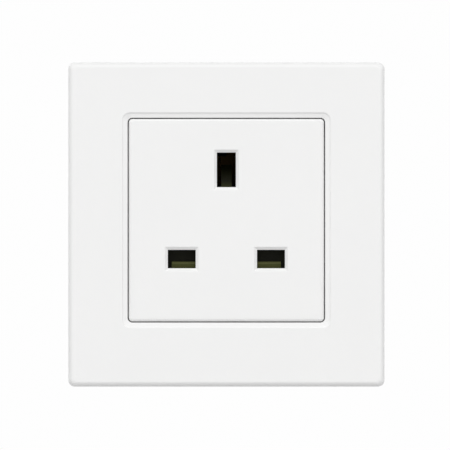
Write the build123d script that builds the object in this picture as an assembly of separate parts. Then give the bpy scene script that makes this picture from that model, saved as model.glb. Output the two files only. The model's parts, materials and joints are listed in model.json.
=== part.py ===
from build123d import *
import os

# A square wall socket for plugs with three flat pins, in a plain cover frame.
# Sizes are millimetres. X runs right and Z up for someone facing the socket, who stands
# towards -Y. The origin is midway between the two box screws, on the face of the wall.
# A front or back is a distance from the wall towards the room, so it is negative for
# what lies inside the wall box.

# Plug pins, as the standard fixes them
pin_pitch = 22.23
line_pin_width = 6.35
line_pin_height = 4.0
line_pin_length = 17.7
earth_pin_width = 4.0
earth_pin_height = 7.92
earth_pin_length = 22.73
pins_lift = 1.425

# Clearances
insert_gap = 0.25
slide_play = 0.2
snug_play = 0.1
hole_play = 0.03
thread_play = 0.05
window_play = 0.5

# Face plate, the square insert with the three slots
insert_width = 48.7
insert_height = 50.5
insert_corner_r = 0.95
insert_edge_r = 0.5
insert_skin = 2.4
skirt_wall = 1.6
line_slot_play = 0.58
earth_slot_play = 0.7
slot_chamfer = 0.75

# Clip legs behind the face plate
leg_wall = 1.4
leg_width = 6.0
leg_gap = 0.4
leg_screw_gap = 2.5
leg_end = 1.8
hook_reach = 0.7
hook_flat = 0.3

# Mounting strap, folded from sheet steel
box_pitch = 60.3
box_slot_length = 7.0
box_slot_width = 4.0
strap_edge = 1.85
strap_sheet = 1.2
strap_corner_r = 3.0
strap_fold = 1.2
strap_bend_r = 1.0
window_corner_r = 1.5

# Cover frame
frame_skin = 2.1
frame_wall = 2.4
frame_side_gap = 1.6
frame_top_gap = 1.54
frame_bottom_gap = 3.66
frame_proud = 0.3
frame_corner_r = 1.7
frame_edge_r = 1.1
frame_draft = 3.0
ring_wall = 1.6
ledge_width = 1.6
ledge_sheet = 1.4
bevel_width = 1.35
bevel_corner_r = 1.9
bevel_lip_width = 0.25
bevel_lip_depth = 0.35
bevel_depth = 0.6
foot_height = 1.2
foot_length = 6.0
foot_spread = 28.0
rib_sheet = 1.0
rib_spread = 32.0
rib_lift = 0.6

# Base housing, behind the strap
housing_wall = 1.8
housing_floor = 2.0
housing_corner_r = 2.0
housing_edge_r = 0.8
partition = 1.2
leaf_room = 0.3
pin_room = 0.6
cell_width = 10.0
housing_top_room = 2.7
housing_bottom_room = 1.2
locating_rib = 1.0
pillar_side = 4.0

# Contact cover, which closes the housing inside the strap's window
cover_sheet = 1.8
cover_rim = 1.5
cover_end_rim = 2.05
cover_corner_r = 1.2
aperture_play = 0.9
guide_wall = 1.0
guide_length = 11.0

# Safety shutter
shutter_sheet = 1.8
shutter_room = 0.6
shutter_cover_up = 0.8
shutter_cover_down = 1.6
shutter_cover_side = 0.7
travel_margin = 0.12
column_width = 8.4
column_tuck = 0.13
pad_rise = 1.4
pad_inner_tuck = 0.15
pad_outer_gap = 0.95
pad_drop = 0.6
pad_edge_r = 0.6
ramp_width = 2.6
ramp_play = 0.15
ramp_inset = 1.4
ramp_tip = 2.4
ramp_nose = 3.2
bridge_height = 2.0
bridge_width = 9.0

# Return spring of the shutter
spring_wire = 0.4
spring_width = 3.0
spring_length = 14.0
spring_turns = 9
spring_side_play = 0.4
spring_peg_play = 0.2
spring_peg_length = 1.5
post_height = 1.2
post_inset = 0.6

# Contacts, folded from brass sheet
contact_sheet = 0.8
contact_bend_r = 0.9
pin_grip = 0.15
leaf_spread = 0.75
mouth_flare = 1.15
mouth_depth = 1.6
throat_depth = 3.8
pin_end_play = 0.2
line_leaf_width = 6.0
earth_leaf_width = 7.0
tail_width = 3.0
tail_gap = 0.4
wing_height = 5.0

# Terminals, brass blocks with a bore for the wires
block_width = 8.0
line_block_height = 7.5
earth_block_height = 10.0
block_front_wall = 1.2
block_thread_wall = 2.7
block_edge = 0.4
wire_bore_r = 2.3
wire_entry = 5.8
earth_block_gap = 2.75
stake_r = 1.0
stake_head_r = 1.4
stake_head = 0.5

# Terminal screws, M4 with a cheese head
screw_r = 2.0
screw_head_r = 2.9
screw_head = 2.0
screw_travel = 2.5
screw_end_play = 0.1
screw_slot_width = 0.9
screw_slot_depth = 1.0
head_play = 0.4
head_sink = 0.4
sleeve_wall = 0.9

# Small self-tapping screws of the contact cover and the strap
tap_r = 1.2
tap_head_r = 2.2
tap_head = 1.2
tap_length = 8.0
tap_edge_r = 0.5
recess_length = 2.4
recess_width = 0.7
recess_depth = 0.7
boss_r = 2.3
boss_inset = 1.5

# Earth link from the earth contact to the strap
link_sheet = 0.6
link_width = 4.0
link_bend_r = 0.5
link_side = 8.25
link_gap = 0.1
link_end = 2.2
rivet_r = 0.8
rivet_head_r = 1.2
rivet_head = 0.5

# How far the cutting shapes reach past what they cut
past = 1.0

# Layers from the wall towards the room
cover_front = cover_sheet
shutter_back = cover_front + slide_play
shutter_front = shutter_back + shutter_sheet
pad_front = shutter_front + pad_rise
insert_back = pad_front + shutter_room
insert_front = insert_back + insert_skin
frame_front = insert_front + frame_proud
ledge_back = strap_sheet + foot_height
ledge_front = ledge_back + ledge_sheet
fold_front = strap_sheet + strap_fold

# Layers inside the wall box
line_base_front = insert_front - line_pin_length - pin_end_play
line_base_back = line_base_front - contact_sheet
earth_base_front = insert_front - earth_pin_length - pin_end_play
earth_base_back = earth_base_front - contact_sheet
block_depth = block_front_wall + 2 * wire_bore_r + block_thread_wall
line_block_back = line_base_back - block_depth
line_bore_front = line_base_back - block_front_wall - wire_bore_r
earth_bore_front = earth_base_front + block_thread_wall + wire_bore_r
screw_stand_off = screw_travel + screw_end_play
housing_back = line_block_back - screw_stand_off - screw_head - head_sink
floor_front = housing_back + housing_floor

# Places of the pins and their slots
pin_side = pin_pitch / 2
line_z = pins_lift - pin_pitch / 2
earth_z = line_z + pin_pitch
line_slot_width = line_pin_width + line_slot_play
line_slot_height = line_pin_height + line_slot_play
earth_slot_height = earth_pin_height + earth_slot_play

# Outlines of the frame and its opening
strap_size = box_pitch + box_slot_length + 2 * strap_edge
frame_width = strap_size + 2 * (frame_side_gap + frame_wall)
frame_top = strap_size / 2 + frame_top_gap + frame_wall
frame_bottom = -strap_size / 2 - frame_bottom_gap - frame_wall
frame_height = frame_top - frame_bottom
frame_middle = (frame_top + frame_bottom) / 2
opening_width = insert_width + 2 * insert_gap
opening_height = insert_height + 2 * insert_gap
opening_corner_r = insert_corner_r + insert_gap

# Shutter
shutter_travel = line_slot_height + shutter_cover_up + travel_margin
bar_side = pin_side + line_slot_width / 2 + shutter_cover_side
bar_top = line_z + line_slot_height / 2 + shutter_cover_up
bar_bottom = line_z - line_slot_height / 2 - shutter_cover_down
window_low = bar_bottom + post_inset
post_top = window_low + post_height
window_high = post_top + spring_length
spring_slot_width = spring_width + 2 * spring_side_play
spring_front = (cover_front + insert_back) / 2
spring_peg_r = spring_width / 2 - spring_wire - spring_peg_play
column_top = earth_z - earth_slot_height / 2 - column_tuck
ramp_high = earth_z - earth_pin_height / 2 + shutter_travel - ramp_play
ramp_back = cover_front - ramp_inset

# Contact cover, and the strap's window round it
cover_width = 2 * (bar_side + slide_play + guide_wall + cover_rim)
cover_height = 2 * (earth_z + (earth_pin_height + aperture_play) / 2 + cover_end_rim)
window_width = cover_width + 2 * window_play
window_height = cover_height + 2 * window_play

# Clip legs, and the housing round their hooks
leg_inner = window_width / 2 + leg_gap
leg_outer = leg_inner + leg_wall
hook_side = leg_outer + hook_reach
notch_side = leg_outer + slide_play + snug_play
inner_side = hook_side + slide_play

# Contacts and terminals
line_throat = line_pin_height / 2 - pin_grip + contact_sheet / 2
earth_throat = earth_pin_width / 2 - pin_grip + contact_sheet / 2
line_half = line_throat + leaf_spread + contact_sheet / 2
earth_half = earth_throat + leaf_spread + contact_sheet / 2
tail_inner = pin_side + line_leaf_width / 2 + tail_gap
tail_outer = tail_inner + tail_width
line_block_side = tail_outer - block_width / 2
line_block_top = line_z - line_half - tail_gap
line_block_z = line_block_top - line_block_height / 2
earth_block_side = earth_half + earth_block_gap + block_width / 2
earth_block_low = earth_z - earth_leaf_width / 2
earth_block_z = earth_block_low + earth_block_height / 2

# Housing outline and rooms
band_low = line_z + line_throat + mouth_flare + contact_sheet / 2 + leaf_room + partition
band_high = earth_z - earth_pin_height / 2 - pin_room - partition
inner_top = window_height / 2 + housing_top_room
inner_bottom = line_block_top - line_block_height - housing_bottom_room
housing_width = 2 * (inner_side + housing_wall)
housing_height = inner_top - inner_bottom + 2 * housing_wall
housing_middle = (inner_top + inner_bottom) / 2
sleeve_inner_r = screw_head_r + head_play
sleeve_outer_r = sleeve_inner_r + sleeve_wall

# Screw places, as (x, z)
cover_screw_side = bar_side - tap_head_r
cover_screw_low = (window_low - cover_height / 2) / 2
cover_screw_z = (band_low + band_high) / 2
cover_screw_places = [
    (-cover_screw_side, cover_screw_z),
    (cover_screw_side, cover_screw_z),
    (0, cover_screw_low),
]
strap_screw_side = inner_side - boss_inset
strap_screw_places = [
    (side * strap_screw_side, z)
    for side in (-1, 1)
    for z in (inner_top - boss_inset, inner_bottom + boss_inset)
]
leg_spread = 2 * (inner_top - boss_inset - tap_head_r - leg_screw_gap) - leg_width

terminal_screw_places = [
    (-line_block_side, line_block_z),
    (line_block_side, line_block_z),
    (earth_block_side, earth_block_z),
]

# Earth link
link_leg_z = window_height / 2 - link_gap - link_sheet / 2
link_rivet_z = inner_top - rivet_head_r - link_gap


def layer(outline, back, front):
    """An outline in X and Z, made solid from one distance in front of the wall to another."""
    return extrude(Plane.XZ.offset(back) * outline, amount=front - back)


def block(left, right, low, high, back, front):
    """A rectangular block between the given places."""
    outline = Pos((left + right) / 2, (low + high) / 2) * Rectangle(right - left, high - low)
    return layer(outline, back, front)


def disc(x, z, radius, back, front):
    """A round bar that points at the wall."""
    return layer(Pos(x, z) * Circle(radius), back, front)


def upright(x, front, radius, low, high):
    """A round bar that stands upright."""
    return extrude(Plane.XY.offset(low) * Pos(x, -front) * Circle(radius), amount=high - low)


def taper(wide, narrow, back, front):
    """A straight-sided funnel from the narrow outline at the back to the wide one."""
    return loft([Plane.XZ.offset(front) * wide, Plane.XZ.offset(back) * narrow], ruled=True)


def cone(x, z, back_r, front_r, back, front):
    """A round funnel that points at the wall."""
    return taper(Pos(x, z) * Circle(front_r), Pos(x, z) * Circle(back_r), back, front)


def folded(plane, points, bend_radius, sheet, width):
    """A strip of sheet along a bent path, as wide on both sides of the plane."""
    strip = trace(FilletPolyline(*points, radius=bend_radius), sheet)
    return extrude(plane * strip, amount=width / 2, both=True)


def front_edges(body):
    """The edges round the face nearest to the room."""
    return body.faces().sort_by(Axis.Y)[0].edges()


def mirrored(body):
    """The same shape on the other side of the socket's middle."""
    return mirror(body, about=Plane.YZ)


def rounded(width, height, radius):
    """A rectangle with round corners about the origin."""
    return RectangleRounded(width, height, radius)


def bevel_cut():
    """What the frame loses round its opening: a steep lip and then a shallow slope."""
    top = rounded(opening_width + 2 * bevel_width, opening_height + 2 * bevel_width, bevel_corner_r)
    lip = bevel_width - bevel_lip_width
    middle_r = bevel_corner_r - bevel_lip_width
    middle = rounded(opening_width + 2 * lip, opening_height + 2 * lip, middle_r)
    inner = rounded(opening_width, opening_height, opening_corner_r)
    steep = taper(top, middle, frame_front - bevel_lip_depth, frame_front)
    shallow = taper(middle, inner, frame_front - bevel_depth, frame_front - bevel_lip_depth)
    return steep + shallow


def frame_ribs():
    """Stiffening ribs between the frame's outer wall and the ring round its opening."""
    half = frame_width / 2 - frame_wall / 2
    back = fold_front + rib_lift
    front = frame_front - frame_skin
    ribs = []
    for place in (-rib_spread / 2, rib_spread / 2):
        ribs.append(block(-half, half, place - rib_sheet / 2, place + rib_sheet / 2, back, front))
        low = frame_bottom + frame_wall / 2
        high = frame_top - frame_wall / 2
        ribs.append(block(place - rib_sheet / 2, place + rib_sheet / 2, low, high, back, front))
    return ribs


def frame_feet():
    """Small feet under the ledge, which stand on the strap."""
    side = opening_width / 2 + ring_wall
    top = opening_height / 2 + ring_wall
    feet = []
    for place in (-foot_spread / 2, foot_spread / 2):
        low = place - foot_length / 2
        high = place + foot_length / 2
        feet.append(block(-side, side, low, high, strap_sheet, ledge_back))
        feet.append(block(low, high, -top, top, strap_sheet, ledge_back))
    return feet


def make_cover_frame():
    middle = Pos(0, frame_middle)
    outline = middle * rounded(frame_width, frame_height, frame_corner_r)
    body = extrude(Plane.XZ * outline, amount=frame_front, taper=frame_draft)
    body = fillet(front_edges(body), frame_edge_r)
    cavity = middle * Rectangle(frame_width - 2 * frame_wall, frame_height - 2 * frame_wall)
    body -= layer(cavity, 0, frame_front - frame_skin)
    ring_width = opening_width + 2 * ring_wall
    ring_height = opening_height + 2 * ring_wall
    ring_corner_r = opening_corner_r + ring_wall
    ring = rounded(ring_width, ring_height, ring_corner_r)
    body += layer(ring, ledge_back, frame_front - frame_skin)
    for piece in frame_ribs() + frame_feet():
        body += piece
    opening = rounded(opening_width, opening_height, opening_corner_r)
    body -= layer(opening, ledge_front, frame_front)
    way_in = Rectangle(opening_width - 2 * ledge_width, opening_height - 2 * ledge_width)
    body -= layer(way_in, 0, ledge_front)
    return body - bevel_cut()


def slot_outlines(line_play, earth_play):
    """The three pin holes, each this much larger than its pin, as (x, z, width, height)."""
    line = (line_pin_width + line_play, line_pin_height + line_play)
    earth = (earth_pin_width + earth_play, earth_pin_height + earth_play)
    return [(-pin_side, line_z, *line), (pin_side, line_z, *line), (0, earth_z, *earth)]


def slot_cut(x, z, width, height):
    """One pin slot of the face plate, with a mitred chamfer at its mouth."""
    slot = Pos(x, z) * Rectangle(width, height)
    mouth = Pos(x, z) * Rectangle(width + 2 * slot_chamfer, height + 2 * slot_chamfer)
    through = layer(slot, insert_back - past, insert_front)
    return through + taper(mouth, slot, insert_front - slot_chamfer, insert_front)


def clip_leg(z):
    """A leg that snaps behind the edge of the strap's window."""
    points = [
        (leg_inner, -insert_back - past),
        (leg_outer, -insert_back - past),
        (leg_outer, snug_play),
        (hook_side, snug_play),
        (hook_side, snug_play + hook_flat),
        (leg_inner + leg_wall / 2, leg_end),
        (leg_inner, leg_end),
    ]
    profile = make_face(Polyline(*points, close=True))
    return extrude(Plane.XY.offset(z) * profile, amount=leg_width / 2, both=True)


def make_face_plate():
    outline = rounded(insert_width, insert_height, insert_corner_r)
    body = layer(outline, ledge_front, insert_front)
    body = fillet(front_edges(body), insert_edge_r)
    hollow = Rectangle(insert_width - 2 * skirt_wall, insert_height - 2 * skirt_wall)
    body -= layer(hollow, ledge_front, insert_back)
    for z in (-leg_spread / 2, leg_spread / 2):
        body += clip_leg(z) + mirrored(clip_leg(z))
    for x, z, width, height in slot_outlines(line_slot_play, earth_slot_play):
        body -= slot_cut(x, z, width, height)
    return body


def strap_lip():
    """The strap's upper edge, folded towards the room."""
    half_sheet = strap_sheet / 2
    edge = strap_size / 2 - half_sheet
    flat_end = strap_size / 2 - strap_corner_r
    path = [(-fold_front, edge), (-half_sheet, edge), (-half_sheet, flat_end)]
    return folded(Plane.YZ, path, strap_bend_r, strap_sheet, strap_size - 2 * strap_corner_r)


def make_mounting_strap():
    body = layer(rounded(strap_size, strap_size, strap_corner_r), 0, strap_sheet)
    half = strap_size / 2
    lip_width = strap_size - 2 * strap_corner_r
    body -= layer(Pos(0, half) * Rectangle(lip_width, 2 * strap_corner_r), 0, strap_sheet)
    body -= layer(Pos(0, -half) * Rectangle(lip_width, 2 * strap_corner_r), 0, strap_sheet)
    body += strap_lip() + mirror(strap_lip(), about=Plane.XY)
    body -= layer(rounded(window_width, window_height, window_corner_r), 0, strap_sheet)
    notch = Rectangle(2 * notch_side, leg_width + 2 * slide_play)
    for z in (-leg_spread / 2, leg_spread / 2):
        body -= layer(Pos(0, z) * notch, 0, strap_sheet)
    slot = SlotOverall(box_slot_length, box_slot_width)
    for x, z in ((-1, 0), (1, 0), (0, -1), (0, 1)):
        body -= layer(Pos(x * box_pitch / 2, z * box_pitch / 2) * slot, 0, strap_sheet)
    for x, z in strap_screw_places:
        body -= disc(x, z, tap_r + hole_play, 0, strap_sheet)
    return body - disc(-link_side, link_rivet_z, rivet_r + hole_play, 0, strap_sheet)


def housing_block(left, right, low, high, back, front):
    """What lies of the housing's outer form between the given places."""
    outline = Pos(0, housing_middle) * rounded(housing_width, housing_height, housing_corner_r)
    return layer(outline, back, front) & block(left, right, low, high, back, front)


def make_base_housing():
    """The rear plate of the housing, with the holes for a screwdriver."""
    half = housing_width / 2
    low = inner_bottom - housing_wall
    high = inner_top + housing_wall
    body = housing_block(-half, half, low, high, housing_back, floor_front)
    body = fillet(body.faces().sort_by(Axis.Y)[-1].edges(), housing_edge_r)
    for x, z in terminal_screw_places:
        body -= disc(x, z, sleeve_inner_r, housing_back, floor_front)
    return body


def make_housing_sides():
    """The side walls, each with its two outer corners."""
    low = inner_bottom - housing_wall
    high = inner_top + housing_wall
    side = housing_block(inner_side, housing_width / 2, low, high, floor_front, 0)
    return Compound(children=[side, mirrored(side)])


def end_wall(low, high, ways, bore_front):
    """An end wall in plain blocks round the square ways in for the wires."""
    half = wire_entry / 2
    back = bore_front - half
    front = bore_front + half
    edges = [-inner_side]
    for x in ways:
        edges += [x - half, x + half]
    edges.append(inner_side)
    blocks = [
        housing_block(-inner_side, inner_side, low, high, floor_front, back),
        housing_block(-inner_side, inner_side, low, high, front, 0),
    ]
    for left, right in zip(edges[::2], edges[1::2]):
        blocks.append(housing_block(left, right, low, high, back, front))
    return blocks


def make_housing_ends():
    """The lower and the upper wall between the sides."""
    lower_ways = [-line_block_side, line_block_side]
    outside = inner_bottom - housing_wall
    lower = end_wall(outside, inner_bottom, lower_ways, line_bore_front)
    outside = inner_top + housing_wall
    upper = end_wall(inner_top, outside, [earth_block_side], earth_bore_front)
    return Compound(children=lower + upper)


def make_housing_partitions():
    """The walls between the rooms: two for the lines, one between them, a band and the earth room."""
    low_top = band_low - partition
    inner = cell_width / 2
    upright_wall = block(inner, inner + partition, inner_bottom, low_top, floor_front, 0)
    lower = block(-inner_side, inner_side, low_top, band_low, floor_front, 0)
    upper = block(-inner_side, inner_side, band_high, band_high + partition, floor_front, 0)
    return Compound(children=[upright_wall, mirrored(upright_wall), lower, upper])


def cover_screw_bosses():
    """The bosses under the contact cover, each on a rib between two walls."""
    half_rib = locating_rib / 2
    half_cell = cell_width / 2
    bosses = []
    for x, z in cover_screw_places[:2]:
        rib = block(x - half_rib, x + half_rib, band_low, band_high, floor_front, 0)
        bosses.append(rib + disc(x, z, boss_r, floor_front, 0))
    x, z = cover_screw_places[2]
    rib = block(-half_cell, half_cell, z - half_rib, z + half_rib, floor_front, 0)
    bosses.append(rib + disc(x, z, boss_r, floor_front, 0))
    hole_back = cover_front - tap_length - snug_play
    places = cover_screw_places
    return [boss - disc(*place, tap_r + hole_play, hole_back, 0) for boss, place in zip(bosses, places)]


def strap_screw_bosses():
    """The bosses in the housing's corners, which take the strap's screws."""
    back = strap_sheet - tap_length - housing_wall
    hole_back = strap_sheet - tap_length - snug_play
    room = block(-inner_side, inner_side, inner_bottom, inner_top, back, 0)
    bosses = []
    for x, z in strap_screw_places:
        boss = disc(x, z, boss_r, back, 0) & room
        bosses.append(boss - disc(x, z, tap_r + hole_play, hole_back, 0))
    return bosses


def make_housing_bosses():
    return Compound(children=cover_screw_bosses() + strap_screw_bosses())


def sleeve(x, z, back, front):
    """A round guard between the rear plate and a terminal, for the terminal's screw."""
    return disc(x, z, sleeve_outer_r, back, front), disc(x, z, sleeve_inner_r, back, front)


def line_seats():
    """What holds the right-hand line contact and its terminal in the housing."""
    left = line_block_side - block_width / 2 - snug_play
    right = line_block_side + block_width / 2 + snug_play
    half = pillar_side / 2
    foot = (pin_side - half, pin_side + half, line_z - half, line_z + half)
    pillar = block(*foot, floor_front, line_base_back)
    seat, way = sleeve(line_block_side, line_block_z, floor_front, line_block_back)
    seat += block(left - locating_rib, left, inner_bottom, line_block_top, floor_front, line_base_back)
    seat += block(right, right + locating_rib, inner_bottom, line_block_top, floor_front, line_base_back)
    return [pillar, seat - way]


def earth_seats():
    """What holds the earth contact and its terminal in the housing."""
    left = earth_block_side - block_width / 2 - snug_play
    right = earth_block_side + block_width / 2 + snug_play
    half = pillar_side / 2
    pillar = block(-half, half, earth_z - half, earth_z + half, floor_front, earth_base_back)
    rib = block(left - locating_rib, left, earth_block_low, inner_top, earth_base_front, 0)
    seat, way = sleeve(earth_block_side, earth_block_z, floor_front, earth_base_back)
    seat += block(right, right + locating_rib, earth_block_low, inner_top, floor_front, 0)
    return [pillar, rib, seat - way]


def make_housing_seats():
    right = line_seats()
    left = [mirrored(seat) for seat in right]
    return Compound(children=right + left + earth_seats())


def cover_guides():
    """Ribs of the contact cover that keep the shutter straight, and the post of its spring."""
    bar_edge = bar_side + slide_play
    column_edge = column_width / 2 + slide_play
    column_low = bar_top + slide_play
    bar_rib = block(
        bar_edge, bar_edge + guide_wall, bar_top - guide_length, bar_top, cover_front, pad_front
    )
    column_rib = block(
        column_edge,
        column_edge + guide_wall,
        column_low,
        column_low + guide_length,
        cover_front,
        pad_front,
    )
    half = spring_width / 2
    post = block(-half, half, window_low, post_top, cover_front, pad_front)
    peg = upright(0, spring_front, spring_peg_r, post_top, post_top + spring_peg_length)
    return [bar_rib, mirrored(bar_rib), column_rib, mirrored(column_rib), post, peg]


def make_contact_cover():
    body = layer(rounded(cover_width, cover_height, cover_corner_r), 0, cover_front)
    for x, z, width, height in slot_outlines(aperture_play, aperture_play):
        body -= layer(Pos(x, z) * Rectangle(width, height), 0, cover_front)
    half = (earth_pin_width + aperture_play) / 2
    ramp_low = column_top - shutter_travel - slide_play
    body -= block(-half, half, ramp_low, earth_z, 0, cover_front)
    for piece in cover_guides():
        body += piece
    for x, z in cover_screw_places:
        body -= disc(x, z, tap_r + hole_play, 0, cover_front)
        sink_back = cover_front - tap_head
        body -= cone(x, z, tap_r + hole_play, tap_head_r + hole_play, sink_back, cover_front)
    return body


def shutter_pad():
    """The raised pad behind the right-hand slot, with a round upper edge."""
    left = pin_side - line_slot_width / 2 - pad_inner_tuck
    right = pin_side + line_slot_width / 2 - pad_outer_gap
    pad = block(left, right, bar_bottom, line_z - pad_drop, shutter_back, pad_front)
    upper = front_edges(pad).sort_by(Axis.Z)[-1]
    return fillet(upper, pad_edge_r)


def shutter_ramp():
    """The ramp in the earth slot. The longer earth pin pushes it down before the others meet."""
    points = [
        (-pad_front, column_top - ramp_nose),
        (-pad_front, column_top),
        (-ramp_back, ramp_high),
        (-ramp_back, ramp_high - ramp_tip),
        (-shutter_back, column_top),
        (-shutter_back, column_top - ramp_nose),
    ]
    profile = make_face(Polyline(*points, close=True))
    return extrude(Plane.YZ * profile, amount=ramp_width / 2, both=True)


def make_safety_shutter():
    half = column_width / 2
    body = block(-bar_side, bar_side, bar_bottom, bar_top, shutter_back, shutter_front)
    body += block(-half, half, bar_bottom, column_top, shutter_back, shutter_front)
    bridge_low = window_low - bridge_height
    bridge = bridge_width / 2
    body += block(-bridge, bridge, bridge_low, bar_bottom, shutter_back, shutter_front)
    body += block(-half, half, window_high, window_high + post_height, shutter_front, pad_front)
    slot = spring_slot_width / 2
    body -= block(-slot, slot, window_low, window_high, shutter_back, shutter_front)
    peg_low = window_high - spring_peg_length
    body += upright(0, spring_front, spring_peg_r, peg_low, window_high)
    body += shutter_pad() + mirrored(shutter_pad())
    return body + shutter_ramp()


def make_shutter_spring():
    """A compression coil between the post of the contact cover and the shutter."""
    rise = spring_length - spring_wire
    coil = Helix(pitch=rise / spring_turns, height=rise, radius=(spring_width - spring_wire) / 2)
    coil = Pos(0, -spring_front, post_top + spring_wire / 2) * coil
    section = Plane(coil @ 0, z_dir=coil % 0) * Circle(spring_wire / 2)
    return sweep(section, path=coil)


def leaf_path(throat, base_back):
    """The bent path of a pair of leaves, as (depth in the wall, distance from the pin's middle)."""
    base = -base_back - contact_sheet / 2
    side = [(mouth_depth, throat + mouth_flare), (throat_depth, throat), (base, throat + leaf_spread)]
    return side + [(depth, -offset) for depth, offset in reversed(side)]


def make_line_contact():
    """The right-hand contact, whose leaves grip the upper and lower side of the line pin."""
    plane = Plane((pin_side, 0, line_z), x_dir=(0, 1, 0), z_dir=(1, 0, 0))
    path = leaf_path(line_throat, line_base_back)
    body = folded(plane, path, contact_bend_r, contact_sheet, line_leaf_width)
    flat = line_throat + leaf_spread - contact_bend_r
    tail_middle = tail_inner + tail_width / 2
    base = (line_base_back, line_base_front)
    body += block(pin_side, tail_outer, line_z - flat, line_z + flat, *base)
    body += block(tail_inner, tail_outer, line_block_z, line_z, *base)
    body += disc(tail_middle, line_block_z, tail_width / 2, *base)
    return body - disc(tail_middle, line_block_z, stake_r + hole_play, *base)


def make_earth_contact():
    """The contact that grips both sides of the earth pin, with a wing to its terminal and link."""
    plane = Plane((0, 0, earth_z), x_dir=(0, 1, 0), z_dir=(0, 0, 1))
    path = leaf_path(earth_throat, earth_base_back)
    body = folded(plane, path, contact_bend_r, contact_sheet, earth_leaf_width)
    base = (earth_base_back, earth_base_front)
    wing_right = earth_block_side + block_width / 2
    wing_high = earth_block_z + block_width / 2
    body += block(0, wing_right, earth_block_low, wing_high, *base)
    wing_left = link_side + link_width / 2
    half = wing_height / 2
    body += block(-wing_left, 0, earth_z - half, earth_z + half, *base)
    body -= disc(earth_block_side, earth_block_z, screw_r + head_play, *base)
    return body - disc(-link_side, earth_z, rivet_r + hole_play, *base)


def terminal(side, low, height, back, bore_front):
    """A brass block with an upright bore for the wires and a threaded hole from the rear."""
    half = block_width / 2
    high = low + height
    body = block(side - half, side + half, low, high, back, back + block_depth)
    body = chamfer(body.edges().filter_by(Axis.Z), block_edge)
    body -= upright(side, bore_front, wire_bore_r, low, high)
    return body - disc(side, low + height / 2, screw_r + thread_play, back, bore_front)


def make_line_terminal():
    """The right-hand terminal, whose stake is peened over the contact's tail."""
    low = line_block_top - line_block_height
    body = terminal(line_block_side, low, line_block_height, line_block_back, line_bore_front)
    middle = tail_inner + tail_width / 2
    stake_front = line_base_front + stake_head
    body += disc(middle, line_block_z, stake_r, line_base_back, stake_front)
    return body + disc(middle, line_block_z, stake_head_r, line_base_front, stake_front)


def make_earth_terminal():
    place = (earth_block_side, earth_block_low, earth_block_height)
    return terminal(*place, earth_base_front, earth_bore_front)


def terminal_screw(side, z, tip, seat):
    """A cheese-head screw, backed out so that the wire bore stands open."""
    head_front = seat - screw_stand_off
    head_back = head_front - screw_head
    body = disc(side, z, screw_r, head_front, tip)
    body += disc(side, z, screw_head_r, head_back, head_front)
    half = screw_slot_width / 2
    reach = screw_head_r
    slot_front = head_back + screw_slot_depth
    return body - block(side - reach, side + reach, z - half, z + half, head_back, slot_front)


def make_line_terminal_screw():
    tip = line_bore_front - wire_bore_r - screw_end_play
    return terminal_screw(line_block_side, line_block_z, tip, line_block_back)


def make_earth_terminal_screw():
    tip = earth_bore_front - wire_bore_r - screw_end_play
    return terminal_screw(earth_block_side, earth_block_z, tip, earth_base_back)


def cross_recess(x, z, front):
    """The cross that a screwdriver turns."""
    long = recess_length / 2
    short = recess_width / 2
    back = front - recess_depth
    flat = block(x - long, x + long, z - short, z + short, back, front)
    return flat + block(x - short, x + short, z - long, z + long, back, front)


def make_cover_screws():
    """Countersunk screws, flush with the contact cover so that the shutter slides over them."""
    screws = []
    for x, z in cover_screw_places:
        body = disc(x, z, tap_r, cover_front - tap_length, cover_front)
        body += cone(x, z, tap_r, tap_head_r, cover_front - tap_head, cover_front)
        screws.append(body - cross_recess(x, z, cover_front))
    return Compound(children=screws)


def make_strap_screws():
    """Pan-head screws that hold the strap on the housing."""
    screws = []
    head_front = strap_sheet + tap_head
    for x, z in strap_screw_places:
        head = disc(x, z, tap_head_r, strap_sheet, head_front)
        body = fillet(front_edges(head), tap_edge_r)
        body += disc(x, z, tap_r, strap_sheet - tap_length, strap_sheet)
        screws.append(body - cross_recess(x, z, head_front))
    return Compound(children=screws)


def make_earth_link():
    """A brass strip from the earth contact to the back of the strap."""
    foot_depth = -earth_base_front - link_sheet / 2
    front_depth = link_sheet / 2
    path = [
        (foot_depth, earth_z - link_end),
        (foot_depth, link_leg_z),
        (front_depth, link_leg_z),
        (front_depth, inner_top - link_gap),
    ]
    plane = Plane((-link_side, 0, 0), x_dir=(0, 1, 0), z_dir=(1, 0, 0))
    body = folded(plane, path, link_bend_r, link_sheet, link_width)
    hole = rivet_r + hole_play
    body -= disc(-link_side, earth_z, hole, earth_base_front, earth_base_front + link_sheet)
    return body - disc(-link_side, link_rivet_z, hole, -link_sheet, 0)


def rivet(x, z, back, front):
    """A rivet through sheets that lie between two distances from the wall."""
    body = disc(x, z, rivet_r, back, front)
    body += disc(x, z, rivet_head_r, back - rivet_head, back)
    return body + disc(x, z, rivet_head_r, front, front + rivet_head)


def make_earth_link_rivets():
    rear = rivet(-link_side, earth_z, earth_base_back, earth_base_front + link_sheet)
    return Compound(children=[rear, rivet(-link_side, link_rivet_z, -link_sheet, strap_sheet)])


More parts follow.
